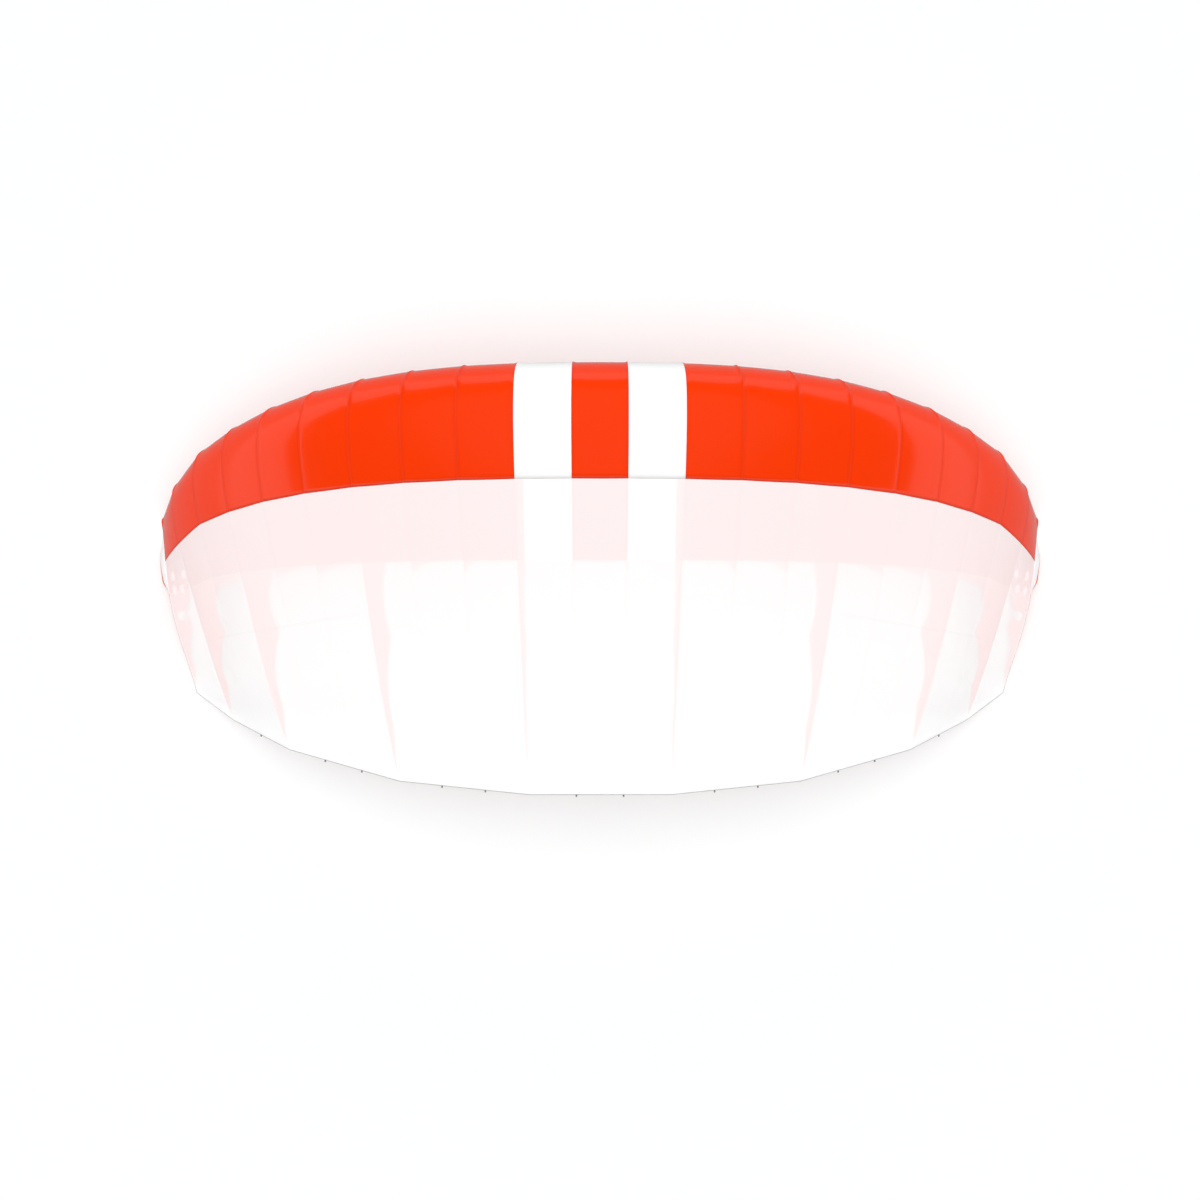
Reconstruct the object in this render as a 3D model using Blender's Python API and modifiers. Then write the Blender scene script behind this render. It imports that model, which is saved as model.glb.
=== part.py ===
"""Inflated parawing: an arched ram-air wing of cloth, standing on its two tips.

The front of each cell is double: an upper and a lower skin with a cell rib between them.
Behind the lower skin's rear edge the wing is a single skin, carried by the main ribs alone,
whose free lower edges run in scallops between the points where lines are tied on.

Units are metres. +X is the right tip, +Y is the leading edge, +Z is up, and the wing rests on z = 0.
A chord station is a fraction of the chord, from 0 at the leading edge to 1 at the trailing edge.
"""

import math

import bmesh
import bpy
from mathutils import Vector

# ---------------------------------------------------------------- driving dimensions
CELL_WIDTH = 0.170             # cloth width of a cell, from seam to seam
OUTER_CELL_WIDTH = 0.180       # the last two cells on each side
CELLS_PER_SIDE = 10            # beside the centre cell
MAIN_RIBS = (1.5, 4.5, 7.5, 9.5, 10.5)   # full-chord ribs, counted in cells from the centre

# The plan and the arch change along the cloth by powers of its length from the centre.
# Each end value holds at ARCH_LENGTH, a little past the tip ribs.
ARCH_LENGTH = 1.831
ROOT_CHORD = 1.440
END_CHORD = 0.672
TAPER_POWER = 2.7              # how late the chord starts to shrink
END_SETBACK = 0.509            # how far the leading edge lies behind the centre's
SETBACK_POWER = 2.76
END_ROLL = math.radians(54.4)  # lean of a rib away from upright
ROLL_POWER = 1.30
ROOT_PITCH = math.radians(8.5)     # nose-up angle of the chord, as the wing stands
END_WASHOUT = math.radians(1.7)    # what the end adds to it

# hand trim of the outer ribs
TIP_TRIM = (
    # rib, pitch in degrees, crown, fullness of the middle in chords, chord, setback
    (8.5, 0.4, 0.02, 0.0, 0.009, -0.005),
    (9.5, 1.2, 0.03, 0.0, 0.012, 0.006),
    (10.5, -1.2, -0.29, 0.035, -0.039, 0.017),
)

# aerofoil, in fractions of the chord
NOSE_HEIGHT = 0.496            # weight of the round nose in the upper curve
HOLLOW = 0.532                 # how much the back of the upper curve is let down
TAIL_FILL = 0.310              # what is given back near the trailing edge
END_FLATTENING = 0.573         # share of the upper curve's height that the end loses
BELLY = 0.043                  # depth of the lower skin below the chord line
BELLY_NOSE = 0.060             # length of the round underside of the nose
BELLY_RISE = 0.0234            # slope of the lower skin behind it

BAND_END = 0.236               # the front panels reach from the nose to here
LOWER_END = 0.444              # rear edge of the lower skin and of the cell ribs
NOSE_SEAM = 0.030              # root of the station where the skins meet under the nose

# free lower edge of a main rib: station, depth below the upper skin, and sag of the scallop before it
EDGE_POINTS = (
    # station, depth, sag
    (0.4475, 0.120, 0.000),
    (0.626, 0.095, 0.027),
    (0.852, 0.032, 0.023),
)
RIB_TAIL = 0.980               # where a main rib runs out, just before the trailing edge
LINE_FLAT = 0.016              # straight length of edge at a line point

# vents in the tip ribs: station, depth below the upper skin, length and width
TIP_VENTS = (
    (0.326, 0.035, 0.034, 0.014),
    (0.326, 0.095, 0.034, 0.014),
    (0.405, 0.035, 0.034, 0.014),
    (0.405, 0.078, 0.034, 0.014),
    (0.552, 0.050, 0.036, 0.036),
)

# cloth and seams
SKIN = 0.0012                  # thickness of a skin
REAR_SKIN = 0.0015             # thickness of the single skin behind the band
RIB = 0.0010                   # thickness of a rib
SEAM = 0.0010                  # gap between two panels along a seam
TIP_SEAM = 0.0018              # the same where two panels meet on the strongly bent tip
RIB_INSET = 0.0021             # from a skin's outer face to the edge of a rib
TIP_RIB_INSET = 0.0043         # the same on the tip ribs, where a bulging panel closes the cell
CELL_CROWN = 0.018             # height of a cell's bulge over its width
REAR_BILLOW = 0.020            # height of the single skin's billow over the gap between main ribs

# closed half cell outside each tip rib
TIP_BULGE = 0.80               # outward bulge over the height of the tip rib
TIP_BULGE_LIFT = math.radians(27.0)  # how much nearer to level it points than the tip rib's normal
TIP_BULGE_ENDS = 0.25          # share of the bulge left under the nose and at the rear edge
TIP_BULGE_FULL = (0.24, 0.35)  # stations between which the bulge is full
TIP_KEEL = 0.034               # how far the half cell hangs down under the nose
TIP_KEEL_ENDS = (0.06, 0.26)   # stations between which it runs out
CAP_SEAM = (0.46, 0.90)        # the white cap reaches this far down, less this much for each chord
TIP_SQUASH = 0.012             # how far the underside of each tip is pressed flat
RIB_CLEAR = 0.002              # least height of a tip rib's edge over the surface

# trailing-edge tabs
TAB_LENGTH = 0.007
TAB_WIDTH = 0.0055
TAB_HOLE = 0.0025
TAB_THICKNESS = 0.0015
TAB_GAP = 0.0005

# mesh density
CELL_STEPS = 2
BAND_STEPS = 9
REAR_STATIONS = (0.30, 0.37, LOWER_END, 0.53, 0.626, 0.70, 0.78, 0.86, 0.93)
LOWER_STEPS = 8
WRAP_STEPS = 5
SCALLOP_STEPS = 5
CAP_STEPS = 3
ARC_STEPS = 400

COLOURS = {
    # name: colour, roughness
    "orange_red_cloth": ((0.86, 0.045, 0.003, 1.0), 0.35),
    "white_cloth": ((0.90, 0.90, 0.90, 1.0), 0.45),
    "dark_webbing": ((0.03, 0.03, 0.03, 1.0), 0.70),
}

RIBS = [0.5 + i for i in range(CELLS_PER_SIDE + 1)]
INNER_RIBS = CELLS_PER_SIDE - 1.5  # number of the last rib before the outer cells


# ---------------------------------------------------------------- the arch and its ribs
def build_arch():
    """Reach and drop of the arch at even steps of cloth length from the centre."""
    reach, drop = [0.0], [0.0]
    step = ARCH_LENGTH / ARC_STEPS
    for i in range(ARC_STEPS):
        roll = END_ROLL * ((i + 0.5) / ARC_STEPS) ** ROLL_POWER
        reach.append(reach[-1] + step * math.cos(roll))
        drop.append(drop[-1] + step * math.sin(roll))
    return reach, drop


ARCH_REACH, ARCH_DROP = build_arch()


def from_arch(table, share):
    """A value of an arch table at a share of its length."""
    place = share * ARC_STEPS
    low = min(int(place), ARC_STEPS - 1)
    return table[low] + (table[low + 1] - table[low]) * (place - low)


class Rib:
    """The plane, chord and curves of the wing at a rib, named by its number of cells from the centre."""

    def __init__(self, number):
        count = abs(number)
        cloth = CELL_WIDTH * min(count, INNER_RIBS) + OUTER_CELL_WIDTH * max(count - INNER_RIBS, 0.0)
        share = cloth / ARCH_LENGTH
        side = math.copysign(1.0, number)
        trim = [row[1:] for row in TIP_TRIM if row[0] == count]
        more_pitch, more_crown, self.fullness, more_chord, more_setback = trim[0] if trim else [0.0] * 5
        roll = END_ROLL * share ** ROLL_POWER
        pitch = ROOT_PITCH + END_WASHOUT * share + math.radians(more_pitch)
        self.chord = ROOT_CHORD - (ROOT_CHORD - END_CHORD) * share ** TAPER_POWER + more_chord
        self.crown = 1.0 - END_FLATTENING * share ** 4 + more_crown
        self.nose = Vector((side * from_arch(ARCH_REACH, share),
                            -END_SETBACK * share ** SETBACK_POWER - more_setback,
                            -from_arch(ARCH_DROP, share)))
        lift = Vector((side * math.sin(roll), 0.0, math.cos(roll)))
        back = Vector((0.0, -1.0, 0.0))
        self.aft = back * math.cos(pitch) - lift * math.sin(pitch)
        self.up = lift * math.cos(pitch) + back * math.sin(pitch)
        self.out = Vector((side * math.cos(roll), 0.0, -math.sin(roll)))

    def upper(self, station):
        """Height of the upper skin over the chord line, in chords."""
        return self.crown * upper_curve(station) + self.fullness * (4.0 * station * (1.0 - station)) ** 2

    def lower(self, station):
        """Height of the lower skin over the chord line, in chords."""
        return self.upper(station) - skin_depth(station)

    def point(self, aft, up):
        """A point of the rib's plane, from lengths along and across the chord."""
        return self.nose + self.aft * aft + self.up * up

    def outline(self, root, inset=0.0):
        """Lengths along and across the chord of a point on the skins' section.

        root is the square root of the station, and it is negative on the lower skin.
        """
        step = 0.0005
        here = self.section(root)
        ahead = self.section(root + step)
        behind = self.section(root - step)
        along, across = ahead[0] - behind[0], ahead[1] - behind[1]
        size = math.hypot(along, across)
        aft = here[0] * self.chord + inset * across / size
        up = here[1] * self.chord - inset * along / size
        return aft, up

    def section(self, root):
        """The skins' section in chords, read through the nose as one smooth curve."""
        station = root * root
        height = self.upper(station) if root >= 0.0 else self.lower(station)
        return station, height

    def normal(self, root):
        """Direction that points out of the skin at a point of its section."""
        outer = self.outline(root)
        inner = self.outline(root, 1.0)
        return self.aft * (outer[0] - inner[0]) + self.up * (outer[1] - inner[1])

    def skin(self, root):
        """A point of the outer face of the skin over this rib."""
        return self.point(*self.outline(root))


def upper_curve(station):
    """Upper curve of the root aerofoil, in chords."""
    nose = NOSE_HEIGHT * math.sqrt(station)
    return (nose - HOLLOW * station + TAIL_FILL * station ** 2) * (1.0 - station)


def skin_depth(station):
    """Depth of the lower skin below the upper one, in chords."""
    into_nose = min(station, BELLY_NOSE) / BELLY_NOSE
    belly = BELLY * math.sqrt(1.0 - (1.0 - into_nose) ** 2)
    belly -= BELLY_RISE * max(station - BELLY_NOSE, 0.0)
    return upper_curve(station) + belly


def smooth(value):
    """A soft step from 0 to 1."""
    value = min(max(value, 0.0), 1.0)
    return value * value * (3.0 - 2.0 * value)


RIB_AT = {side * number: Rib(side * number) for number in RIBS for side in (-1, 1)}


def main_rib_gap(number):
    """The two main ribs on either side of a rib number."""
    edges = sorted([-n for n in MAIN_RIBS] + list(MAIN_RIBS))
    low = max(n for n in edges[:-1] if n <= number)
    return low, edges[edges.index(low) + 1]


# ---------------------------------------------------------------- the skins
def rib_line(number, root):
    """A point of the skin's outer face along a rib seam.

    Behind the cell ribs nothing holds the skin down between two main ribs,
    so there its seams leave their own curve for the straight line between those ribs, plus the billow.
    """
    own = RIB_AT[number].skin(root)
    if abs(number) in MAIN_RIBS or root * root <= LOWER_END or root < 0.0:
        return own
    low, high = main_rib_gap(number)
    share = (number - low) / (high - low)
    start, end = RIB_AT[low], RIB_AT[high]
    straight = start.skin(root).lerp(end.skin(root), share)
    free = (root * root - LOWER_END) / (1.0 - LOWER_END)
    gap = (end.skin(root) - start.skin(root)).length
    billow = REAR_BILLOW * gap * 4.0 * share * (1.0 - share) * math.sin(math.pi * free)
    straight += (start.normal(root) + end.normal(root)).normalized() * billow
    return own.lerp(straight, smooth(free))


def skin_point(span, root):
    """A point of the skin's outer face; span counts cells from the centre."""
    low = math.floor(span + 0.5) - 0.5
    low = min(max(low, -RIBS[-1]), RIBS[-1] - 1.0)
    share = span - low
    start, end = rib_line(low, root), rib_line(low + 1.0, root)
    normal = (RIB_AT[low].normal(root) + RIB_AT[low + 1.0].normal(root)).normalized()
    crown = CELL_CROWN * (end - start).length * 4.0 * share * (1.0 - share)
    if root > 0.0:
        crown *= 1.0 - smooth((root * root - LOWER_END) / (1.0 - LOWER_END))
    return start.lerp(end, share) + normal * crown


def tip_point(side, root, down):
    """A point of the closed half cell outside a tip rib, from its upper edge, 0, to its lower one, 1."""
    rib = RIB_AT[side * RIBS[-1]]
    station = root * root
    top, bottom = rib.skin(abs(root)), rib.skin(-abs(root))
    first, last = TIP_BULGE_FULL
    full = smooth(station / first) * smooth((LOWER_END - station) / (LOWER_END - last))
    bulge = TIP_BULGE * (TIP_BULGE_ENDS + (1.0 - TIP_BULGE_ENDS) * full) * (top - bottom).length
    direction = rib.out * math.cos(TIP_BULGE_LIFT) + rib.up * math.sin(TIP_BULGE_LIFT)
    start, end = TIP_KEEL_ENDS
    keel = TIP_KEEL * smooth((end - station) / (end - start)) * (4.0 * down * (1.0 - down)) ** 2
    return top.lerp(bottom, down) + direction * bulge * 4.0 * down * (1.0 - down) - Vector((0.0, 0.0, keel))


def cap_edge(root):
    """How far down the tip's half cell the white cap reaches."""
    return CAP_SEAM[0] - CAP_SEAM[1] * root * root


def spread(start, end, steps):
    """Evenly spaced values from start to end."""
    return [start + (end - start) * i / steps for i in range(steps + 1)]


def cell_columns(first, last):
    """Span values of a panel between two ribs, drawn in by half a seam at each end."""
    count = round(last - first) * CELL_STEPS
    columns = spread(first, last, count)
    columns[0] += 0.5 * SEAM / CELL_WIDTH
    columns[-1] -= 0.5 * SEAM / CELL_WIDTH
    return columns


def band_roots():
    """Roots of the front panels' stations: from just under the nose to the end of the band."""
    return spread(-NOSE_SEAM, math.sqrt(BAND_END), BAND_STEPS)


def rear_roots():
    """Roots of the rear panels' stations."""
    first = BAND_END + SEAM / ROOT_CHORD
    return [math.sqrt(station) for station in (first,) + REAR_STATIONS + (1.0,)]


def lower_roots():
    """Roots of the lower skin's stations, negative because they lie on the lower curve."""
    seam = SEAM / (ROOT_CHORD * BELLY * math.sqrt(2.0 / BELLY_NOSE))
    return spread(-NOSE_SEAM - seam, -math.sqrt(LOWER_END), LOWER_STEPS)


# ---------------------------------------------------------------- setting the wing down
def tip_depth():
    """Height of the lowest point of a tip before the wing is set down."""
    return min(tip_point(1, root, down).z
               for root in spread(lower_roots()[0], lower_roots()[-1], 40)
               for down in spread(0.0, 1.0, 20))


FLOOR = tip_depth() + TIP_SQUASH


def mid_chord():
    """Middle of the wing's length, from the nose of the centre cell to the ends of the rear tabs."""
    front = max(skin_point(0.0, root).y for root in spread(-0.1, 0.1, 40))
    rear = rib_line(0.5, 1.0).y - (TAB_GAP + TAB_LENGTH)
    return 0.5 * (front + rear)


MIDDLE = mid_chord()


def place(point):
    """The wing standing on its tips, with the parts of them that would go below z = 0 pressed flat."""
    return Vector((point.x, point.y - MIDDLE, max(point.z - FLOOR, 0.0)))


def raised(rib, aft, up):
    """A point of a rib's edge, moved up in the rib's plane where it would come too near z = 0."""
    short = RIB_CLEAR - (rib.point(aft, up).z - FLOOR)
    return aft, up + max(short, 0.0) / rib.up.z


# ---------------------------------------------------------------- building blocks
def clear_scene():
    """Remove what a new file holds."""
    for old in list(bpy.data.objects):
        bpy.data.objects.remove(old, do_unlink=True)


def make_material(name):
    """A plain cloth or webbing material."""
    colour, roughness = COLOURS[name]
    material = bpy.data.materials.new(name)
    material.use_nodes = True
    shader = material.node_tree.nodes["Principled BSDF"]
    shader.inputs["Base Color"].default_value = colour
    shader.inputs["Roughness"].default_value = roughness
    shader.inputs["Metallic"].default_value = 0.0
    return material


def own_material(name, material):
    """A piece's own copy of a material."""
    copy = material.copy()
    copy.name = name + "_" + material.name
    return copy


def make_sheet(name, rows, material, collection, flip=False, cloth=SKIN):
    """A sheet of cloth: its outer face is a grid of points, and Solidify adds the thickness inwards."""
    mesh = bpy.data.meshes.new(name)
    shell = bmesh.new()
    grid = [[shell.verts.new(point) for point in row] for row in rows]
    for near, far in zip(grid, grid[1:]):
        for i in range(len(near) - 1):
            corners = (near[i], near[i + 1], far[i + 1], far[i])
            shell.faces.new(tuple(reversed(corners)) if flip else corners)
    shell.to_mesh(mesh)
    shell.free()
    mesh.shade_smooth()
    mesh.materials.append(own_material(name, material))
    sheet = bpy.data.objects.new(name, mesh)
    collection.objects.link(sheet)
    thickness = sheet.modifiers.new("cloth thickness", "SOLIDIFY")
    thickness.thickness = cloth
    thickness.offset = -1.0
    return sheet


def make_plate(name, loops, axes, thickness, material, collection):
    """A flat piece: closed outlines in its own plane, the first one its edge and the rest holes."""
    curve = bpy.data.curves.new(name, "CURVE")
    curve.dimensions = "2D"
    curve.fill_mode = "BOTH"
    curve.extrude = 0.5 * thickness
    for loop in loops:
        spline = curve.splines.new("POLY")
        spline.points.add(len(loop) - 1)
        for point, (aft, up) in zip(spline.points, loop):
            point.co = (aft, up, 0.0, 1.0)
        spline.use_cyclic_u = True
    curve.materials.append(own_material(name, material))
    plate = bpy.data.objects.new(name, curve)
    origin, along, across = axes
    through = along.cross(across)
    for row in range(3):
        plate.matrix_world[row][0:4] = (along[row], across[row], through[row], origin[row])
    collection.objects.link(plate)
    return plate


# ---------------------------------------------------------------- the pieces
def side_name(number):
    """Which side of the wing a number of cells lies on."""
    return "right" if number > 0 else "left"


def front_panels():
    """Name, first rib, last rib and colour of each panel across the front, the same on both skins."""
    end, stripe_out, stripe_in = RIBS[-1], RIBS[1], RIBS[0]
    return (
        ("left", -end, -stripe_out, "orange_red_cloth"),
        ("stripe_left", -stripe_out, -stripe_in, "white_cloth"),
        ("centre", -stripe_in, stripe_in, "orange_red_cloth"),
        ("stripe_right", stripe_in, stripe_out, "white_cloth"),
        ("right", stripe_out, end, "orange_red_cloth"),
    )


def make_upper_front(materials, collection):
    """The band of upper skin behind the leading edge."""
    for name, first, last, colour in front_panels():
        columns = cell_columns(first, last)
        rows = [[place(skin_point(span, root)) for span in columns] for root in band_roots()]
        make_sheet("upper_front_" + name, rows, materials[colour], collection, flip=True)


def make_upper_rear(materials, collection):
    """The upper skin from the band to the trailing edge, cut along the main ribs."""
    edges = [-RIBS[-1], -7.5, -4.5, -1.5, 1.5, 4.5, 7.5, RIBS[-1]]
    names = ("left_outer", "left_middle", "left_inner", "centre",
             "right_inner", "right_middle", "right_outer")
    for name, first, last in zip(names, edges, edges[1:]):
        columns = cell_columns(first, last)
        rows = [[place(skin_point(span, root)) for span in columns] for root in rear_roots()]
        make_sheet("upper_rear_" + name, rows, materials["white_cloth"], collection, flip=True,
                   cloth=REAR_SKIN)


def wrap_columns(side, root):
    """Points of the lower skin where it goes on past a tip rib and up to the cap, from the rib outwards."""
    edge = cap_edge(root) + 0.5 * TIP_SEAM / RIB_AT[RIBS[-1]].chord / skin_depth(root * root)
    downs = spread(1.0, edge, WRAP_STEPS)[1:]
    return [place(tip_point(side, root, down)) for down in downs]


def make_lower_skin(materials, collection):
    """The lower skin, whose outer panels also close the underside of the tips."""
    for name, first, last, colour in front_panels():
        columns = cell_columns(first, last)
        if last == RIBS[-1]:
            columns[-1] = last
        if first == -RIBS[-1]:
            columns[0] = first
        rows = []
        for root in lower_roots():
            row = [place(skin_point(span, root)) for span in columns]
            if last == RIBS[-1]:
                row = row + wrap_columns(1, root)
            if first == -RIBS[-1]:
                row = list(reversed(wrap_columns(-1, root))) + row
            rows.append(row)
        make_sheet("lower_" + name, rows, materials[colour], collection)


def make_tip_caps(materials, collection):
    """The white panel that closes each tip from the upper skin's edge down to the lower skin's."""
    for side in (-1, 1):
        rows = []
        for root in lower_roots():
            height = RIB_AT[RIBS[-1]].chord * skin_depth(root * root)
            top = 0.5 * TIP_SEAM / height
            edge = cap_edge(root) - top
            rows.append([place(tip_point(side, root, down)) for down in spread(top, edge, CAP_STEPS)])
        make_sheet("tip_cap_" + side_name(side), rows, materials["white_cloth"], collection, flip=side > 0)


def scalloped_edge(rib):
    """Free lower edge of a main rib, from its front to its tail, as lengths along and across the chord."""
    points = []
    previous = EDGE_POINTS[0]
    flat = 0.5 * LINE_FLAT / rib.chord
    points.append((previous[0], previous[1]))
    for station, depth, sag in EDGE_POINTS[1:]:
        start = points[-1][0]
        for i in range(1, SCALLOP_STEPS):
            share = i / SCALLOP_STEPS
            along = start + (station - flat - start) * share
            line = previous[1] + (depth - previous[1]) * share
            points.append((along, line - sag * 4.0 * share * (1.0 - share)))
        points.append((station - flat, depth))
        points.append((station + flat, depth))
        previous = (station, depth, sag)
    return [(along * rib.chord, (rib.upper(along) - depth) * rib.chord) for along, depth in points]


def oval(rib, station, depth, length, width):
    """Outline of a vent in a rib."""
    steps = 10
    centre_aft = station * rib.chord
    centre_up = (rib.upper(station) - depth) * rib.chord
    return [(centre_aft + 0.5 * length * math.cos(2.0 * math.pi * i / steps),
             centre_up + 0.5 * width * math.sin(2.0 * math.pi * i / steps)) for i in range(steps)]


def make_ribs(materials, collection):
    """Cell ribs end with the lower skin; main ribs run the full chord, and the tip ones have vents."""
    for order, number in enumerate(RIBS, start=1):
        for side in (-1, 1):
            rib = RIB_AT[side * number]
            inset = TIP_RIB_INSET if number == RIBS[-1] else RIB_INSET
            full = number in MAIN_RIBS
            upper = [root for root in band_roots()[1:] if root > 0.0]
            upper += [root for root in rear_roots()[1:-1] if full or root * root < LOWER_END - SEAM]
            if full:
                upper.append(math.sqrt(RIB_TAIL))
            else:
                upper.append(math.sqrt(LOWER_END) - 0.002)
            lower = lower_roots()[:-1]
            lower.append(-math.sqrt(EDGE_POINTS[0][0]) if full else 0.002 - math.sqrt(LOWER_END))
            edge = [rib.outline(root, inset) for root in reversed(lower)]
            edge += [rib.outline(root, inset) for root in upper]
            if full:
                edge += reversed(scalloped_edge(rib))
            loops = [[raised(rib, aft, up) for aft, up in edge]]
            if number == RIBS[-1]:
                loops += [oval(rib, *vent) for vent in TIP_VENTS]
            axes = (place(rib.nose), rib.aft, rib.up)
            make_plate("rib_%s_%02d" % (side_name(side), order), loops, axes, RIB,
                       materials["orange_red_cloth"], collection)


def make_tabs(materials, collection):
    """Loops of webbing on the trailing edge, at each cell seam that has no main rib."""
    free = [number for number in RIBS if number not in MAIN_RIBS]
    for order, number in enumerate(free, start=1):
        for side in (-1, 1):
            seam = side * number
            edge = place(rib_line(seam, 1.0))
            beside = place(rib_line(seam + side, 1.0)) - place(rib_line(seam - side, 1.0))
            across = beside.normalized()
            aft = RIB_AT[seam].aft
            aft = (aft - across * aft.dot(across)).normalized()
            half = 0.5 * TAB_WIDTH
            corner = 0.3 * TAB_WIDTH
            far = TAB_GAP + TAB_LENGTH
            outline = [(TAB_GAP, -half), (far - corner, -half), (far, corner - half),
                       (far, half - corner), (far - corner, half), (TAB_GAP, half)]
            middle = far - 0.5 * TAB_WIDTH
            hole = [(middle + 0.5 * TAB_HOLE * math.cos(math.pi * i / 4.0),
                     0.5 * TAB_HOLE * math.sin(math.pi * i / 4.0)) for i in range(8)]
            make_plate("tab_%s_%d" % (side_name(side), order), [outline, hole],
                       (edge, aft, across), TAB_THICKNESS, materials["dark_webbing"], collection)


def main():
    """Build the wing."""
    clear_scene()
    collection = bpy.data.collections.new("parawing")
    bpy.context.scene.collection.children.link(collection)
    materials = {name: make_material(name) for name in COLOURS}
    make_upper_front(materials, collection)
    make_upper_rear(materials, collection)
    make_lower_skin(materials, collection)
    make_tip_caps(materials, collection)
    make_ribs(materials, collection)
    make_tabs(materials, collection)
    for material in materials.values():
        bpy.data.materials.remove(material)


main()
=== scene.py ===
"""Looks of the inflated parawing: every panel, rib and tab as finely shaped cloth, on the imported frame.

The wing's sizes and curves are those of the frame. Each piece takes the place of the node it is named for,
with more rows and columns of points, seams that stand out at the nose and sink in behind it,
soft creases in the single skin, folded hems and open vents.

Units are metres. +X is the right tip, +Y is the leading edge, +Z is up, and the wing rests on z = 0.
A chord station is a fraction of the chord; a root is its square root, negative on the lower skin.
"""

import math

import bmesh
import bpy
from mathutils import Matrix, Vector

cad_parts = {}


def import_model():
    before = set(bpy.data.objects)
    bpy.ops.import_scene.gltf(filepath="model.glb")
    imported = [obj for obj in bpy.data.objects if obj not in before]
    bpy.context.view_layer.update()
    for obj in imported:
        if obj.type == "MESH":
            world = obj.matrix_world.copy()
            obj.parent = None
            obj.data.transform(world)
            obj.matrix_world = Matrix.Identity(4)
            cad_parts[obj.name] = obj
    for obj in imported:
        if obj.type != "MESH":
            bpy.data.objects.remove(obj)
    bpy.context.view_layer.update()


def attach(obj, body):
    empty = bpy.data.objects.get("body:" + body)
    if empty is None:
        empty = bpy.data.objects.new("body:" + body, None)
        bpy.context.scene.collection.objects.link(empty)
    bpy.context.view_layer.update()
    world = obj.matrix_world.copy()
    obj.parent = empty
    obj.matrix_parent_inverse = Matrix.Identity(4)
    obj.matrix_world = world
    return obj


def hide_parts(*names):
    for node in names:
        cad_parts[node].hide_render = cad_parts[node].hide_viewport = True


# ---------------------------------------------------------------- the wing's sizes, as in the frame
CELL_WIDTH = 0.170             # cloth width of a cell, from seam to seam
OUTER_CELL_WIDTH = 0.180       # the last two cells on each side
CELLS_PER_SIDE = 10            # beside the centre cell
MAIN_RIBS = (1.5, 4.5, 7.5, 9.5, 10.5)   # full-chord ribs, counted in cells from the centre

ARCH_LENGTH = 1.831
ROOT_CHORD = 1.440
END_CHORD = 0.672
TAPER_POWER = 2.7              # how late the chord starts to shrink
END_SETBACK = 0.509            # how far the leading edge lies behind the centre's
SETBACK_POWER = 2.76
END_ROLL = math.radians(54.4)  # lean of a rib away from upright
ROLL_POWER = 1.30
ROOT_PITCH = math.radians(8.5)     # nose-up angle of the chord, as the wing stands
END_WASHOUT = math.radians(1.7)    # what the end adds to it

TIP_TRIM = (
    # rib, pitch in degrees, crown, fullness of the middle in chords, chord, setback
    (8.5, 0.4, 0.02, 0.0, 0.009, -0.005),
    (9.5, 1.2, 0.03, 0.0, 0.012, 0.006),
    (10.5, -1.2, -0.29, 0.035, -0.039, 0.017),
)

NOSE_HEIGHT = 0.496            # weight of the round nose in the upper curve
HOLLOW = 0.532                 # how much the back of the upper curve is let down
TAIL_FILL = 0.310              # what is given back near the trailing edge
END_FLATTENING = 0.573         # share of the upper curve's height that the end loses
BELLY = 0.043                  # depth of the lower skin below the chord line
BELLY_NOSE = 0.060             # length of the round underside of the nose
BELLY_RISE = 0.0234            # slope of the lower skin behind it

BAND_END = 0.236               # the front panels reach from the nose to here
LOWER_END = 0.444              # rear edge of the lower skin and of the cell ribs
NOSE_SEAM = 0.030              # root of the station where the skins meet under the nose

EDGE_POINTS = (
    # station, depth, sag of the free lower edge of a main rib
    (0.4475, 0.120, 0.000),
    (0.626, 0.095, 0.027),
    (0.852, 0.032, 0.023),
)
RIB_TAIL = 0.980               # where a main rib runs out, just before the trailing edge
PANEL_SEAMS = MAIN_RIBS[:3]    # ribs on which the rear panels meet

TIP_VENTS = (
    # station, depth below the upper skin, length and width
    (0.326, 0.035, 0.034, 0.014),
    (0.326, 0.095, 0.034, 0.014),
    (0.405, 0.035, 0.034, 0.014),
    (0.405, 0.078, 0.034, 0.014),
    (0.552, 0.050, 0.036, 0.036),
)

CELL_CROWN = 0.018             # height of a cell's bulge over its width
REAR_BILLOW = 0.020            # height of the single skin's billow over the gap between main ribs
TIP_BULGE = 0.80               # outward bulge over the height of the tip rib
TIP_BULGE_LIFT = math.radians(27.0)  # how much nearer to level it points than the tip rib's normal
TIP_BULGE_ENDS = 0.25          # share of the bulge left under the nose and at the rear edge
TIP_BULGE_FULL = (0.24, 0.35)  # stations between which the bulge is full
TIP_KEEL = 0.034               # how far the half cell hangs down under the nose
TIP_KEEL_ENDS = (0.06, 0.26)   # stations between which it runs out
CAP_SEAM = (0.46, 0.90)        # the white cap reaches this far down, less this much for each chord
TIP_SQUASH = 0.012             # how far the underside of each tip is pressed flat
RIB_CLEAR = 0.002              # least height of a tip rib's edge over the surface

TAB_LENGTH = 0.007
TAB_WIDTH = 0.0055
TAB_HOLE = 0.0025
TAB_THICKNESS = 0.0015
TAB_GAP = 0.0005
TAB_ROUNDING = 0.0003

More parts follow.
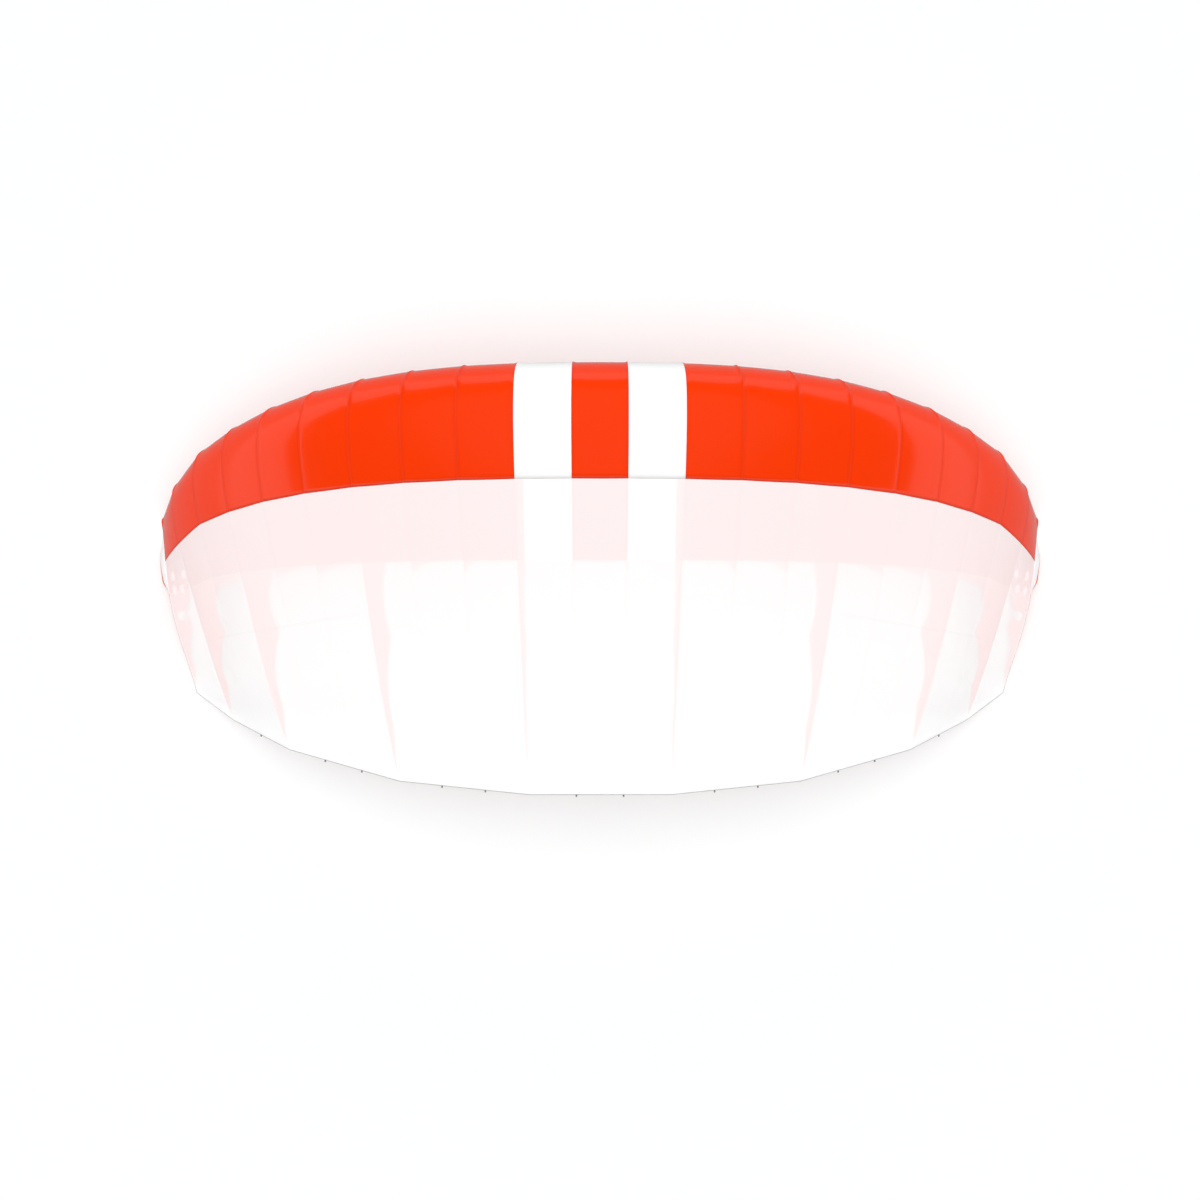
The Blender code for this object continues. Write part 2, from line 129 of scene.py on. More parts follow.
# ---------------------------------------------------------------- what the looks add
CLOTH = 0.0006                 # thickness of a skin panel
RIB_CLOTH = 0.0006
SKIN_TO_RIB = 0.0016           # from a skin's outer face to the edge of a rib
TIP_SKIN_TO_RIB = 0.0036
HEM = 0.010                    # folded edge of the single skin
HEM_FOLD = 0.0007              # radius of the fold
HEM_TURNS = (
    # radii past the edge, radii up from the cloth, share of the hem laid back
    (1.0, -1.0, 0.0),
    (0.0, -2.0, 0.0),
    (0.0, -2.2, 0.5),
    (0.0, -2.0, 1.0),
)
RIDGE_HEIGHT = 0.0030          # a seam stands up this much over the nose, where the rib's rod ends
RIDGE_WIDTH = 0.0055
RIDGE_ROOTS = (0.13, 0.27)     # roots between which the ridge runs out
GROOVE_DEPTH = 0.0004          # behind the nose the thread pulls a seam in
GROOVE_WIDTH = 0.0060
NOSE_TAUTNESS = 0.8            # share of a cell's bulge that is missing over the tight nose
CREASE_RISE = 4.0              # how soon a crease is full after its start
CREASE_FADE = 1.6              # and before its end
RIB_START = 0.02               # root at which a rib begins, just inside the nose
CELL_RIB_SHORT = 0.002         # how much of a root a cell rib stops short of the lower skin's edge
RIB_TAIL_SHORT = 0.004         # how far before its tail a main rib's cloth ends
RIB_LEAST = 0.0005             # least depth of a rib
VENT_CUT = 0.02                # length of the tool that cuts a vent
NOSE_REACH = 0.1               # roots between which the wing's foremost point is looked for

# points across a cell, as shares of its width from one seam to the middle
CELL_SPREAD = (0.0, 0.012, 0.026, 0.045, 0.08, 0.15, 0.25, 0.37, 0.5)
BAND_STEPS = 44
REAR_STEPS = 72
LOWER_STEPS = 36
WRAP_STEPS = 14
CAP_STEPS = 12
RIB_STEPS = 64
RIB_LAYERS = 6
ARC_STEPS = 400
VENT_STEPS = 36
TAB_STEPS = 24

# soft creases of the right half's single skin; the left half has them too
CREASES = (
    # cells from the centre and station where it starts, the same where it ends, height, half width
    (1.5, 0.62, 2.6, 0.97, -0.0016, 0.030),
    (1.5, 0.85, 0.2, 0.99, -0.0014, 0.026),
    (1.5, 0.62, 0.3, 0.80, 0.0012, 0.034),
    (4.5, 0.62, 3.3, 0.93, -0.0018, 0.030),
    (4.5, 0.85, 5.6, 0.98, -0.0014, 0.024),
    (4.5, 0.50, 6.1, 0.72, 0.0013, 0.036),
    (7.5, 0.62, 6.2, 0.95, -0.0016, 0.028),
    (7.5, 0.85, 8.6, 0.97, -0.0012, 0.020),
    (9.5, 0.62, 8.3, 0.90, -0.0013, 0.022),
    (9.5, 0.60, 10.3, 0.86, 0.0010, 0.018),
)

RIBS = [0.5 + i for i in range(CELLS_PER_SIDE + 1)]
INNER_RIBS = CELLS_PER_SIDE - 1.5  # number of the last rib before the outer cells


# ---------------------------------------------------------------- the arch and its ribs
def build_arch():
    """Reach and drop of the arch at even steps of cloth length from the centre."""
    reach, drop = [0.0], [0.0]
    step = ARCH_LENGTH / ARC_STEPS
    for i in range(ARC_STEPS):
        roll = END_ROLL * ((i + 0.5) / ARC_STEPS) ** ROLL_POWER
        reach.append(reach[-1] + step * math.cos(roll))
        drop.append(drop[-1] + step * math.sin(roll))
    return reach, drop


ARCH_REACH, ARCH_DROP = build_arch()


def from_arch(table, share):
    """A value of an arch table at a share of its length."""
    place = share * ARC_STEPS
    low = min(int(place), ARC_STEPS - 1)
    return table[low] + (table[low + 1] - table[low]) * (place - low)


class Rib:
    """The plane, chord and curves of the wing at a rib, named by its number of cells from the centre."""

    def __init__(self, number):
        count = abs(number)
        cloth = CELL_WIDTH * min(count, INNER_RIBS) + OUTER_CELL_WIDTH * max(count - INNER_RIBS, 0.0)
        share = cloth / ARCH_LENGTH
        side = math.copysign(1.0, number)
        trim = [row[1:] for row in TIP_TRIM if row[0] == count]
        more_pitch, more_crown, self.fullness, more_chord, more_setback = trim[0] if trim else [0.0] * 5
        roll = END_ROLL * share ** ROLL_POWER
        pitch = ROOT_PITCH + END_WASHOUT * share + math.radians(more_pitch)
        self.chord = ROOT_CHORD - (ROOT_CHORD - END_CHORD) * share ** TAPER_POWER + more_chord
        self.crown = 1.0 - END_FLATTENING * share ** 4 + more_crown
        self.nose = Vector((side * from_arch(ARCH_REACH, share),
                            -END_SETBACK * share ** SETBACK_POWER - more_setback,
                            -from_arch(ARCH_DROP, share)))
        lift = Vector((side * math.sin(roll), 0.0, math.cos(roll)))
        back = Vector((0.0, -1.0, 0.0))
        self.aft = back * math.cos(pitch) - lift * math.sin(pitch)
        self.up = lift * math.cos(pitch) + back * math.sin(pitch)
        self.out = Vector((side * math.cos(roll), 0.0, -math.sin(roll)))
        self.faces = {}

    def upper(self, station):
        """Height of the upper skin over the chord line, in chords."""
        return self.crown * upper_curve(station) + self.fullness * (4.0 * station * (1.0 - station)) ** 2

    def lower(self, station):
        """Height of the lower skin over the chord line, in chords."""
        return self.upper(station) - skin_depth(station)

    def point(self, aft, up):
        """A point of the rib's plane, from lengths along and across the chord."""
        return self.nose + self.aft * aft + self.up * up

    def outline(self, root, inset=0.0):
        """Lengths along and across the chord of a point on the skins' section."""
        step = 0.0005
        here = self.section(root)
        ahead = self.section(root + step)
        behind = self.section(root - step)
        along, across = ahead[0] - behind[0], ahead[1] - behind[1]
        size = math.hypot(along, across)
        aft = here[0] * self.chord + inset * across / size
        up = here[1] * self.chord - inset * along / size
        return aft, up

    def section(self, root):
        """The skins' section in chords, read through the nose as one smooth curve."""
        station = root * root
        height = self.upper(station) if root >= 0.0 else self.lower(station)
        return station, height

    def face(self, root):
        """A point of the outer face of the skin over this rib, and the direction out of the skin there."""
        if root not in self.faces:
            outer = self.outline(root)
            inner = self.outline(root, 1.0)
            normal = self.aft * (outer[0] - inner[0]) + self.up * (outer[1] - inner[1])
            self.faces[root] = (self.point(*outer), normal)
        return self.faces[root]


def upper_curve(station):
    """Upper curve of the root aerofoil, in chords."""
    nose = NOSE_HEIGHT * math.sqrt(station)
    return (nose - HOLLOW * station + TAIL_FILL * station ** 2) * (1.0 - station)


def skin_depth(station):
    """Depth of the lower skin below the upper one, in chords."""
    into_nose = min(station, BELLY_NOSE) / BELLY_NOSE
    belly = BELLY * math.sqrt(1.0 - (1.0 - into_nose) ** 2)
    belly -= BELLY_RISE * max(station - BELLY_NOSE, 0.0)
    return upper_curve(station) + belly


def smooth(value):
    """A soft step from 0 to 1."""
    value = min(max(value, 0.0), 1.0)
    return value * value * (3.0 - 2.0 * value)


RIB_AT = {side * number: Rib(side * number) for number in RIBS for side in (-1, 1)}


def main_rib_gap(number):
    """The two main ribs on either side of a rib number."""
    edges = sorted([-n for n in MAIN_RIBS] + list(MAIN_RIBS))
    low = max(n for n in edges[:-1] if n <= number)
    return low, edges[edges.index(low) + 1]


# ---------------------------------------------------------------- the skins
def rib_line(number, root):
    """A point of the skin's outer face along a rib seam, which billows between main ribs in the rear."""
    own = RIB_AT[number].face(root)[0]
    if abs(number) in MAIN_RIBS or root * root <= LOWER_END or root < 0.0:
        return own
    low, high = main_rib_gap(number)
    share = (number - low) / (high - low)
    start, start_normal = RIB_AT[low].face(root)
    end, end_normal = RIB_AT[high].face(root)
    free = (root * root - LOWER_END) / (1.0 - LOWER_END)
    gap = (end - start).length
    billow = REAR_BILLOW * gap * 4.0 * share * (1.0 - share) * math.sin(math.pi * free)
    straight = start.lerp(end, share) + (start_normal + end_normal).normalized() * billow
    return own.lerp(straight, smooth(free))


def seam_relief(offset, root):
    """Height of a rib seam over the cloth beside it, at an offset from its line."""
    first, last = RIDGE_ROOTS
    nose = smooth((last - abs(root)) / (last - first))
    ridge = RIDGE_HEIGHT * nose * math.exp(-(offset / RIDGE_WIDTH) ** 2)
    groove = GROOVE_DEPTH * (1.0 - nose) * math.exp(-(offset / GROOVE_WIDTH) ** 2)
    return ridge - groove


def crease_relief(span, station):
    """Height of the creases of the single skin at a point."""
    height = 0.0
    across = abs(span) * CELL_WIDTH
    along = station * ROOT_CHORD
    for from_span, from_station, to_span, to_station, crest, half_width in CREASES:
        start = Vector((from_span * CELL_WIDTH, from_station * ROOT_CHORD))
        line = Vector((to_span * CELL_WIDTH, to_station * ROOT_CHORD)) - start
        here = Vector((across, along)) - start
        share = here.dot(line) / line.length_squared
        aside = (here - line * share).length / half_width
        ends = smooth(CREASE_RISE * share) * smooth(CREASE_FADE * (1.0 - share))
        height += crest * ends * math.exp(-aside * aside)
    return height


def skin_point(span, root):
    """A point of the skin's outer face and the direction out of it; span counts cells from the centre."""
    low = math.floor(span + 0.5) - 0.5
    low = min(max(low, -RIBS[-1]), RIBS[-1] - 1.0)
    share = span - low
    start, end = rib_line(low, root), rib_line(low + 1.0, root)
    normal = (RIB_AT[low].face(root)[1] + RIB_AT[low + 1.0].face(root)[1]).normalized()
    width = (end - start).length
    first, last = RIDGE_ROOTS
    crown = CELL_CROWN * width * 4.0 * share * (1.0 - share)
    crown *= 1.0 - NOSE_TAUTNESS * smooth((last - abs(root)) / (last - first))
    if root > 0.0:
        crown *= 1.0 - smooth((root * root - LOWER_END) / (1.0 - LOWER_END))
    relief = seam_relief(min(share, 1.0 - share) * width, root)
    if root * root > LOWER_END:
        relief += crease_relief(span, root * root)
    return start.lerp(end, share) + normal * (crown + relief), normal


def tip_point(side, root, down):
    """A point of the closed half cell outside a tip rib, from its upper edge, 0, to its lower one, 1."""
    rib = RIB_AT[side * RIBS[-1]]
    station = root * root
    top, bottom = rib.face(abs(root))[0], rib.face(-abs(root))[0]
    first, last = TIP_BULGE_FULL
    full = smooth(station / first) * smooth((LOWER_END - station) / (LOWER_END - last))
    bulge = TIP_BULGE * (TIP_BULGE_ENDS + (1.0 - TIP_BULGE_ENDS) * full) * (top - bottom).length
    direction = rib.out * math.cos(TIP_BULGE_LIFT) + rib.up * math.sin(TIP_BULGE_LIFT)
    start, end = TIP_KEEL_ENDS
    keel = TIP_KEEL * smooth((end - station) / (end - start)) * (4.0 * down * (1.0 - down)) ** 2
    return top.lerp(bottom, down) + direction * bulge * 4.0 * down * (1.0 - down) - Vector((0.0, 0.0, keel))


def cap_edge(root):
    """How far down the tip's half cell the white cap reaches."""
    return CAP_SEAM[0] - CAP_SEAM[1] * root * root


def spread(start, end, steps):
    """Evenly spaced values from start to end."""
    return [start + (end - start) * i / steps for i in range(steps + 1)]


def cell_columns(first, last):
    """Span values across the cells between two ribs, closer together beside the seams."""
    columns = []
    for cell in range(round(last - first)):
        half = [first + cell + share for share in CELL_SPREAD]
        mirrored = [first + cell + 1.0 - share for share in reversed(CELL_SPREAD)]
        columns += half + mirrored[1:-1]
    return columns + [last]


# ---------------------------------------------------------------- setting the wing down
def tip_depth():
    """Height of the lowest point of a tip before the wing is set down."""
    return min(tip_point(1, root, down).z
               for root in spread(-NOSE_SEAM, -math.sqrt(LOWER_END), 40)
               for down in spread(0.0, 1.0, 20))


FLOOR = tip_depth() + TIP_SQUASH


def frame_nose(root):
    """How far forward the frame's centre cell reaches at a point of its section."""
    left, right = RIB_AT[-0.5].face(root), RIB_AT[0.5].face(root)
    normal = (left[1] + right[1]).normalized()
    return right[0].y + normal.y * CELL_CROWN * (right[0] - left[0]).length


def mid_chord():
    """Middle of the wing's length, from the nose of the centre cell to the ends of the rear tabs."""
    front = max(frame_nose(root) for root in spread(-NOSE_REACH, NOSE_REACH, 40))
    rear = rib_line(0.5, 1.0).y - (TAB_GAP + TAB_LENGTH)
    return 0.5 * (front + rear)


MIDDLE = mid_chord()


def place(point):
    """The wing standing on its tips, with the parts of them that would go below z = 0 pressed flat."""
    return Vector((point.x, point.y - MIDDLE, max(point.z - FLOOR, 0.0)))


def raised(rib, aft, up):
    """A point of a rib's edge, moved up in the rib's plane where it would come too near z = 0."""
    short = RIB_CLEAR - (rib.point(aft, up).z - FLOOR)
    return aft, up + max(short, 0.0) / rib.up.z


# ---------------------------------------------------------------- materials
class Nodes:
    """Short ways to add shader nodes to a material."""

    def __init__(self, name):
        self.material = bpy.data.materials.new(name)
        self.material.use_nodes = True
        self.tree = self.material.node_tree
        self.shader = self.tree.nodes["Principled BSDF"]

    def add(self, kind, **settings):
        """A node with its settings."""
        node = self.tree.nodes.new(kind)
        for setting, value in settings.items():
            setattr(node, setting, value)
        return node

    def feed(self, socket, value):
        """Link an output to a socket, or set the socket to a plain value."""
        if isinstance(value, bpy.types.NodeSocket):
            self.tree.links.new(value, socket)
        else:
            socket.default_value = value

    def maths(self, operation, *values):
        """The result of a Math node."""
        node = self.add("ShaderNodeMath", operation=operation)
        for socket, value in zip(node.inputs, values):
            self.feed(socket, value)
        return node.outputs[0]

    def mix(self, share, start, end):
        """A colour between two others."""
        node = self.add("ShaderNodeMix", data_type="RGBA")
        self.feed(node.inputs["Factor"], share)
        self.feed(node.inputs[6], start)
        self.feed(node.inputs[7], end)
        return node.outputs[2]

    def map(self, name):
        """The two values of a UV map."""
        node = self.add("ShaderNodeUVMap", uv_map=name)
        parts = self.add("ShaderNodeSeparateXYZ")
        self.feed(parts.inputs[0], node.outputs[0])
        return parts.outputs[0], parts.outputs[1]

    def below(self, value, edge, soft):
        """1 where a value is below an edge, falling to 0 over a soft width."""
        node = self.add("ShaderNodeMapRange", interpolation_type="SMOOTHSTEP")
        for socket, setting in zip(node.inputs, (value, edge - soft, edge + soft, 1.0, 0.0)):
            self.feed(socket, setting)
        return node.outputs[0]

    def noise(self, scale, detail):
        """Noise over the piece's own coordinates, from 0 to 1."""
        coords = self.add("ShaderNodeTexCoord")
        node = self.add("ShaderNodeTexNoise")
        self.feed(node.inputs["Vector"], coords.outputs["Object"])
        self.feed(node.inputs["Scale"], scale)
        self.feed(node.inputs["Detail"], detail)
        return node.outputs[0]

    def bump(self, height, distance, strength):
        """Give the shader a bump from a height."""
        node = self.add("ShaderNodeBump")
        self.feed(node.inputs["Height"], height)
        self.feed(node.inputs["Distance"], distance)
        self.feed(node.inputs["Strength"], strength)
        self.feed(self.shader.inputs["Normal"], node.outputs[0])


RIPSTOP = 0.0055               # spacing of the thick threads of ripstop cloth
RIPSTOP_THREAD = 0.0005
STITCH = 0.0034                # from one stitch to the next
STITCH_SHARE = 0.62            # share of that which is thread
STITCH_SOFTNESS = 0.06
STITCH_ROW = 0.0036            # from a seam's line to the stitches beside it
THREAD = 0.0005
SEAM_LINE = 0.0013             # half width of the dark line of a seam
SEAM_TURN = 0.0090             # how far the turned-in cloth reaches from a seam
EDGE_SOFTNESS = 0.0004         # of the edge of that and of the overlock
EDGE_THREAD = 0.0022           # width of the grey overlock along a free edge
TAPE = ((4.7, 0.543), (8.9, 0.631))   # cells from the centre and station of both ends of the tape seam
TAPE_GAP = 0.0045              # between its two lines, in chords
TAPE_LINE = 0.0005             # half width of each
TAPE_SOFTNESS = 0.0003
TAPE_FADE = 0.02               # cells over which its ends run out
TAPE_SHADE = 0.12

# how much of the seam's colour shows, and how much more roughness and relief there is
UNEVEN_SCALE = 2.2
UNEVEN_DETAIL = 3.0
UNEVEN_TINT = 0.10
GRID_TINT = 0.10
TURN_TINT = 0.12
LINE_TINT = 0.40
STITCH_TINT = 0.45
GRID_ROUGHNESS = 0.08
SEWN_ROUGHNESS = 0.5
GRID_RELIEF = 0.25
STITCH_RELIEF = 0.8
TURN_RELIEF = 0.3
CLOTH_BUMP = 0.0003
CLOTH_BUMP_STRENGTH = 0.35

WEBBING_DARK = (0.018, 0.018, 0.020, 1.0)
WEBBING_LIGHT = (0.075, 0.075, 0.080, 1.0)
WEBBING_RIBS = 450.0           # fineness of the ribs along the tape
WEBBING_WEFT = 260.0           # and of the weave across it
WEBBING_ROUGHNESS = 0.85
WEBBING_SHEEN = 0.2            # how much less rough the raised threads are
WEBBING_BUMP = 0.0002
WEBBING_BUMP_STRENGTH = 0.5


def ripstop(nodes, across, along):
    """1 on the thick threads that cross in squares."""
    threads = []
    for way in (across, along):
        cell = nodes.maths("FRACT", nodes.maths("DIVIDE", way, RIPSTOP))
        off = nodes.maths("ABSOLUTE", nodes.maths("SUBTRACT", cell, 0.5))
        width = RIPSTOP_THREAD / RIPSTOP
        threads.append(nodes.below(off, 0.5 * width, 0.4 * width))
    return nodes.maths("MAXIMUM", *threads)


def from_seam(nodes, across):
    """Distance to the nearest rib seam."""
    cell = nodes.maths("FRACT", nodes.maths("ADD", nodes.maths("DIVIDE", across, CELL_WIDTH), 0.5))
    near = nodes.maths("MINIMUM", cell, nodes.maths("SUBTRACT", 1.0, cell))
    return nodes.maths("MULTIPLY", near, CELL_WIDTH)


def stitches(nodes, distance, row, along):
    """1 on a row of stitches at a distance from a line."""
    off = nodes.maths("ABSOLUTE", nodes.maths("SUBTRACT", distance, row))
    thread = nodes.below(off, 0.5 * THREAD, 0.3 * THREAD)
    turn = nodes.maths("FRACT", nodes.maths("DIVIDE", along, STITCH))
    return nodes.maths("MULTIPLY", thread, nodes.below(turn, STITCH_SHARE, STITCH_SOFTNESS))


def tape_seam(nodes):
    """1 on the double seam that runs across the outer half of the single skin."""
    cells, station = nodes.map("chart")
    (start, start_station), (end, end_station) = TAPE
    slope = (end_station - start_station) / (end - start)
    rise = nodes.maths("MULTIPLY", nodes.maths("SUBTRACT", cells, start), slope)
    middle = nodes.maths("ADD", rise, start_station)
    off = nodes.maths("ABSOLUTE", nodes.maths("SUBTRACT", station, middle))
    aside = nodes.maths("ABSOLUTE", nodes.maths("SUBTRACT", off, 0.5 * TAPE_GAP))
    pair = nodes.below(aside, TAPE_LINE, TAPE_SOFTNESS)
    within = nodes.maths("ABSOLUTE", nodes.maths("SUBTRACT", cells, 0.5 * (start + end)))
    return nodes.maths("MULTIPLY", pair, nodes.below(within, 0.5 * (end - start), TAPE_FADE))


def cloth_material(name, colour, seam_colour, roughness, glow=None, alpha=1.0, seams=True,
                   edge=None, contrast=1.0):
    """Ripstop cloth with its seams, hems, stitches and a little unevenness."""
    nodes = Nodes(name)
    across, along = nodes.map("cloth")
    front, rear = nodes.map("edges")
    near_edge = nodes.maths("MINIMUM", front, rear)
    grid = ripstop(nodes, across, along)
    uneven = nodes.noise(UNEVEN_SCALE, UNEVEN_DETAIL)
    tint = nodes.mix(nodes.maths("MULTIPLY", uneven, UNEVEN_TINT), colour, seam_colour)
    tint = nodes.mix(nodes.maths("MULTIPLY", grid, GRID_TINT), tint, seam_colour)
    stitch = stitches(nodes, near_edge, STITCH_ROW, across)
    turn = nodes.below(near_edge, SEAM_TURN, EDGE_SOFTNESS)
    line = nodes.below(near_edge, 0.5 * SEAM_LINE, 0.3 * SEAM_LINE)
    if seams:
        distance = from_seam(nodes, across)
        stitch = nodes.maths("MAXIMUM", stitch, stitches(nodes, distance, STITCH_ROW, along))
        turn = nodes.maths("MAXIMUM", turn, nodes.below(distance, SEAM_TURN, EDGE_SOFTNESS))
        line = nodes.maths("MAXIMUM", line, nodes.below(distance, SEAM_LINE, 0.4 * SEAM_LINE))
    tint = nodes.mix(nodes.maths("MULTIPLY", turn, TURN_TINT * contrast), tint, seam_colour)
    tint = nodes.mix(nodes.maths("MULTIPLY", line, LINE_TINT * contrast), tint, seam_colour)
    tint = nodes.mix(nodes.maths("MULTIPLY", stitch, STITCH_TINT), tint, seam_colour)
    if edge:
        side = nodes.maths("SUBTRACT", RIBS[-1] * CELL_WIDTH, nodes.maths("ABSOLUTE", across))
        overlock = nodes.below(nodes.maths("MINIMUM", rear, side), EDGE_THREAD, EDGE_SOFTNESS)
        tint = nodes.mix(overlock, tint, edge)
        tint = nodes.mix(nodes.maths("MULTIPLY", tape_seam(nodes), TAPE_SHADE), tint, edge)
    nodes.feed(nodes.shader.inputs["Base Color"], tint)
    rough = nodes.maths("ADD", nodes.maths("MULTIPLY", grid, GRID_ROUGHNESS), roughness)
    sewn = nodes.maths("MULTIPLY", nodes.maths("MAXIMUM", stitch, line), SEWN_ROUGHNESS)
    nodes.feed(nodes.shader.inputs["Roughness"], nodes.maths("ADD", rough, sewn))
    threads = nodes.maths("MULTIPLY", grid, GRID_RELIEF)
    relief = nodes.maths("ADD", threads, nodes.maths("MULTIPLY", stitch, STITCH_RELIEF))
    relief = nodes.maths("ADD", relief, nodes.maths("MULTIPLY", turn, TURN_RELIEF))
    nodes.bump(relief, CLOTH_BUMP, CLOTH_BUMP_STRENGTH)
    nodes.shader.inputs["Specular IOR Level"].default_value = GLOSS
    nodes.shader.inputs["Alpha"].default_value = alpha
    # painted light: an even glow on the cloth that stands in for daylight coming through it
    if glow:
        nodes.shader.inputs["Emission Color"].default_value = glow[0]
        nodes.shader.inputs["Emission Strength"].default_value = glow[1]
    return nodes.material


def webbing_material():
    """Dark woven tape: ribs of thread along it, crossed by a finer weave."""
    nodes = Nodes("dark_webbing")
    coords = nodes.add("ShaderNodeTexCoord")
    wave = nodes.add("ShaderNodeTexWave", bands_direction="X")
    nodes.feed(wave.inputs["Vector"], coords.outputs["Object"])
    nodes.feed(wave.inputs["Scale"], WEBBING_RIBS)
    weft = nodes.add("ShaderNodeTexWave", bands_direction="Y")
    nodes.feed(weft.inputs["Vector"], coords.outputs["Object"])
    nodes.feed(weft.inputs["Scale"], WEBBING_WEFT)
    weave = nodes.maths("MULTIPLY", wave.outputs["Fac"], weft.outputs["Fac"])
    nodes.feed(nodes.shader.inputs["Base Color"], nodes.mix(weave, WEBBING_DARK, WEBBING_LIGHT))
    smoother = nodes.maths("MULTIPLY", weave, WEBBING_SHEEN)
    rough = nodes.maths("SUBTRACT", WEBBING_ROUGHNESS, smoother)
    nodes.feed(nodes.shader.inputs["Roughness"], rough)
    nodes.bump(weave, WEBBING_BUMP, WEBBING_BUMP_STRENGTH)
    return nodes.material


GLOSS = 0.40                   # mirroring of the cloth's coating
RED_ROUGHNESS = 0.10
WHITE_ROUGHNESS = 0.30
THIN_ROUGHNESS = 0.35          # of the single skin and the tip caps
INSIDE_ROUGHNESS = 0.4         # of uncoated faces and of the ribs
THIN_CONTRAST = 0.25           # how plainly the single skin's seams show
RED = (0.87, 0.040, 0.0018, 1.0)
RED_SEAM = (0.62, 0.022, 0.002, 1.0)
WHITE = (0.90, 0.90, 0.90, 1.0)
WHITE_SEAM = (0.80, 0.80, 0.80, 1.0)
THIN_WHITE = (0.97, 0.97, 0.97, 1.0)
THIN_SEAM = (0.86, 0.86, 0.86, 1.0)
THIN_GLOW = ((1.0, 1.0, 1.0, 1.0), 0.10)     # daylight that comes up through the single skin
LINED_GLOW = ((1.0, 1.0, 1.0, 1.0), 0.065)   # less of it over the lower skin
LINED_END = 0.414              # station to which the lower skin keeps daylight off the upper one
EDGE_GREY = (0.22, 0.22, 0.22, 1.0)
SHEER = 0.76                   # what the single skin covers; the rest shows what is under it
RED_GLOW = ((1.0, 0.03, 0.0, 1.0), 0.10)     # daylight that has come through the thin upper skin
# painted light: a glow on the inner faces of the white cloth, for daylight that comes through it
WHITE_GLOW = ((1.0, 1.0, 1.0, 1.0), 0.45)
TIP_GLOW = ((1.0, 0.75, 0.72, 1.0), 0.60)    # brighter in the tip's half cell, through its white cap


def make_materials():
    """The materials by name."""
    return {
        "red": cloth_material("red_cloth", RED, RED_SEAM, RED_ROUGHNESS),
        "red_inside": cloth_material("red_cloth_inside", RED, RED_SEAM, INSIDE_ROUGHNESS, glow=RED_GLOW),
        "tip_inside": cloth_material("red_cloth_in_tip", RED, RED_SEAM, INSIDE_ROUGHNESS,
                                     glow=TIP_GLOW, seams=False),
        "white": cloth_material("white_cloth", WHITE, WHITE_SEAM, WHITE_ROUGHNESS),
        "white_inside": cloth_material("white_cloth_inside", WHITE, WHITE_SEAM, INSIDE_ROUGHNESS,
                                       glow=WHITE_GLOW),
        "thin": cloth_material("thin_white_cloth", THIN_WHITE, THIN_SEAM, THIN_ROUGHNESS,
                               THIN_GLOW, SHEER, edge=EDGE_GREY, contrast=THIN_CONTRAST),
        "lined": cloth_material("thin_white_cloth_lined", THIN_WHITE, THIN_SEAM, THIN_ROUGHNESS,
                                LINED_GLOW, SHEER, contrast=THIN_CONTRAST),
        "cap": cloth_material("cap_cloth", WHITE, WHITE_SEAM, THIN_ROUGHNESS, seams=False),
        "rib": cloth_material("rib_cloth", RED, RED_SEAM, INSIDE_ROUGHNESS, glow=RED_GLOW, seams=False),
        "webbing": webbing_material(),
    }


# ---------------------------------------------------------------- building blocks
def make_sheet(name, rows, across, materials, thickness=0.0, hem=0, flip=False,
               stations=None, beyond=None):
    """A cloth from a grid of points.

    across holds each column's distance along the span. The map "cloth" gets that and the length along the
    column; the map "edges" gets the distances to the first row and to the last one before the hem. With
    stations, one for each row, the map "chart" gets the number of cells from the centre and the station,
    and the cloth as far as LINED_END gets the second material.
    Solid cloth has an outer and an inner material, and another such pair for columns past a distance beyond.
    """
    lengths = [[0.0] * len(rows[0])]
    for near, far in zip(rows, rows[1:]):
        lengths.append([old + (b - a).length for old, a, b in zip(lengths[-1], near, far)])
    ends = lengths[-1 - hem]
    shell = bmesh.new()
    cloth = shell.loops.layers.uv.new("cloth")
    edges = shell.loops.layers.uv.new("edges")
    chart = shell.loops.layers.uv.new("chart") if stations else None
    grid = [[shell.verts.new(point) for point in row] for row in rows]
    for i in range(len(rows) - 1):
        for j in range(len(rows[0]) - 1):
            places = ((i, j), (i, j + 1), (i + 1, j + 1), (i + 1, j))
            if flip:
                places = tuple(reversed(places))
            face = shell.faces.new([grid[row][column] for row, column in places])
            face.smooth = True
            if beyond and abs(0.5 * (across[j] + across[j + 1])) > beyond:
                face.material_index = 2
            if stations and 0.5 * (stations[i] + stations[i + 1]) < LINED_END:
                face.material_index = 1
            for loop, (row, column) in zip(face.loops, places):
                length = lengths[row][column]
                loop[cloth].uv = (across[column], length)
                loop[edges].uv = (length, abs(ends[column] - length))
                if stations:
                    loop[chart].uv = (abs(across[column]) / CELL_WIDTH, stations[row])
    mesh = bpy.data.meshes.new(name)
    shell.to_mesh(mesh)
    shell.free()
    for material in materials:
        mesh.materials.append(material)
    piece = bpy.data.objects.new(name, mesh)
    bpy.context.scene.collection.objects.link(piece)
    if thickness:
        solid = piece.modifiers.new("cloth thickness", "SOLIDIFY")
        solid.thickness = thickness
        solid.offset = -1.0
        solid.material_offset = 1 if len(materials) > 1 else 0
    return piece


def cut_area(rows):
    """Area of the cloth between the rows."""
    total = 0.0
    for near, far in zip(rows, rows[1:]):
        for i in range(len(near) - 1):
            total += 0.5 * (near[i + 1] - near[i]).cross(far[i] - near[i]).length
            total += 0.5 * (near[i + 1] - far[i + 1]).cross(far[i] - far[i + 1]).length
    return total


def column_length(rows, column):
    """Length of the cloth along a column of points."""
    return sum((far[column] - near[column]).length for near, far in zip(rows, rows[1:]))


def row_length(row):
    """Length of the cloth along a row of points."""
    return sum((b - a).length for a, b in zip(row, row[1:]))


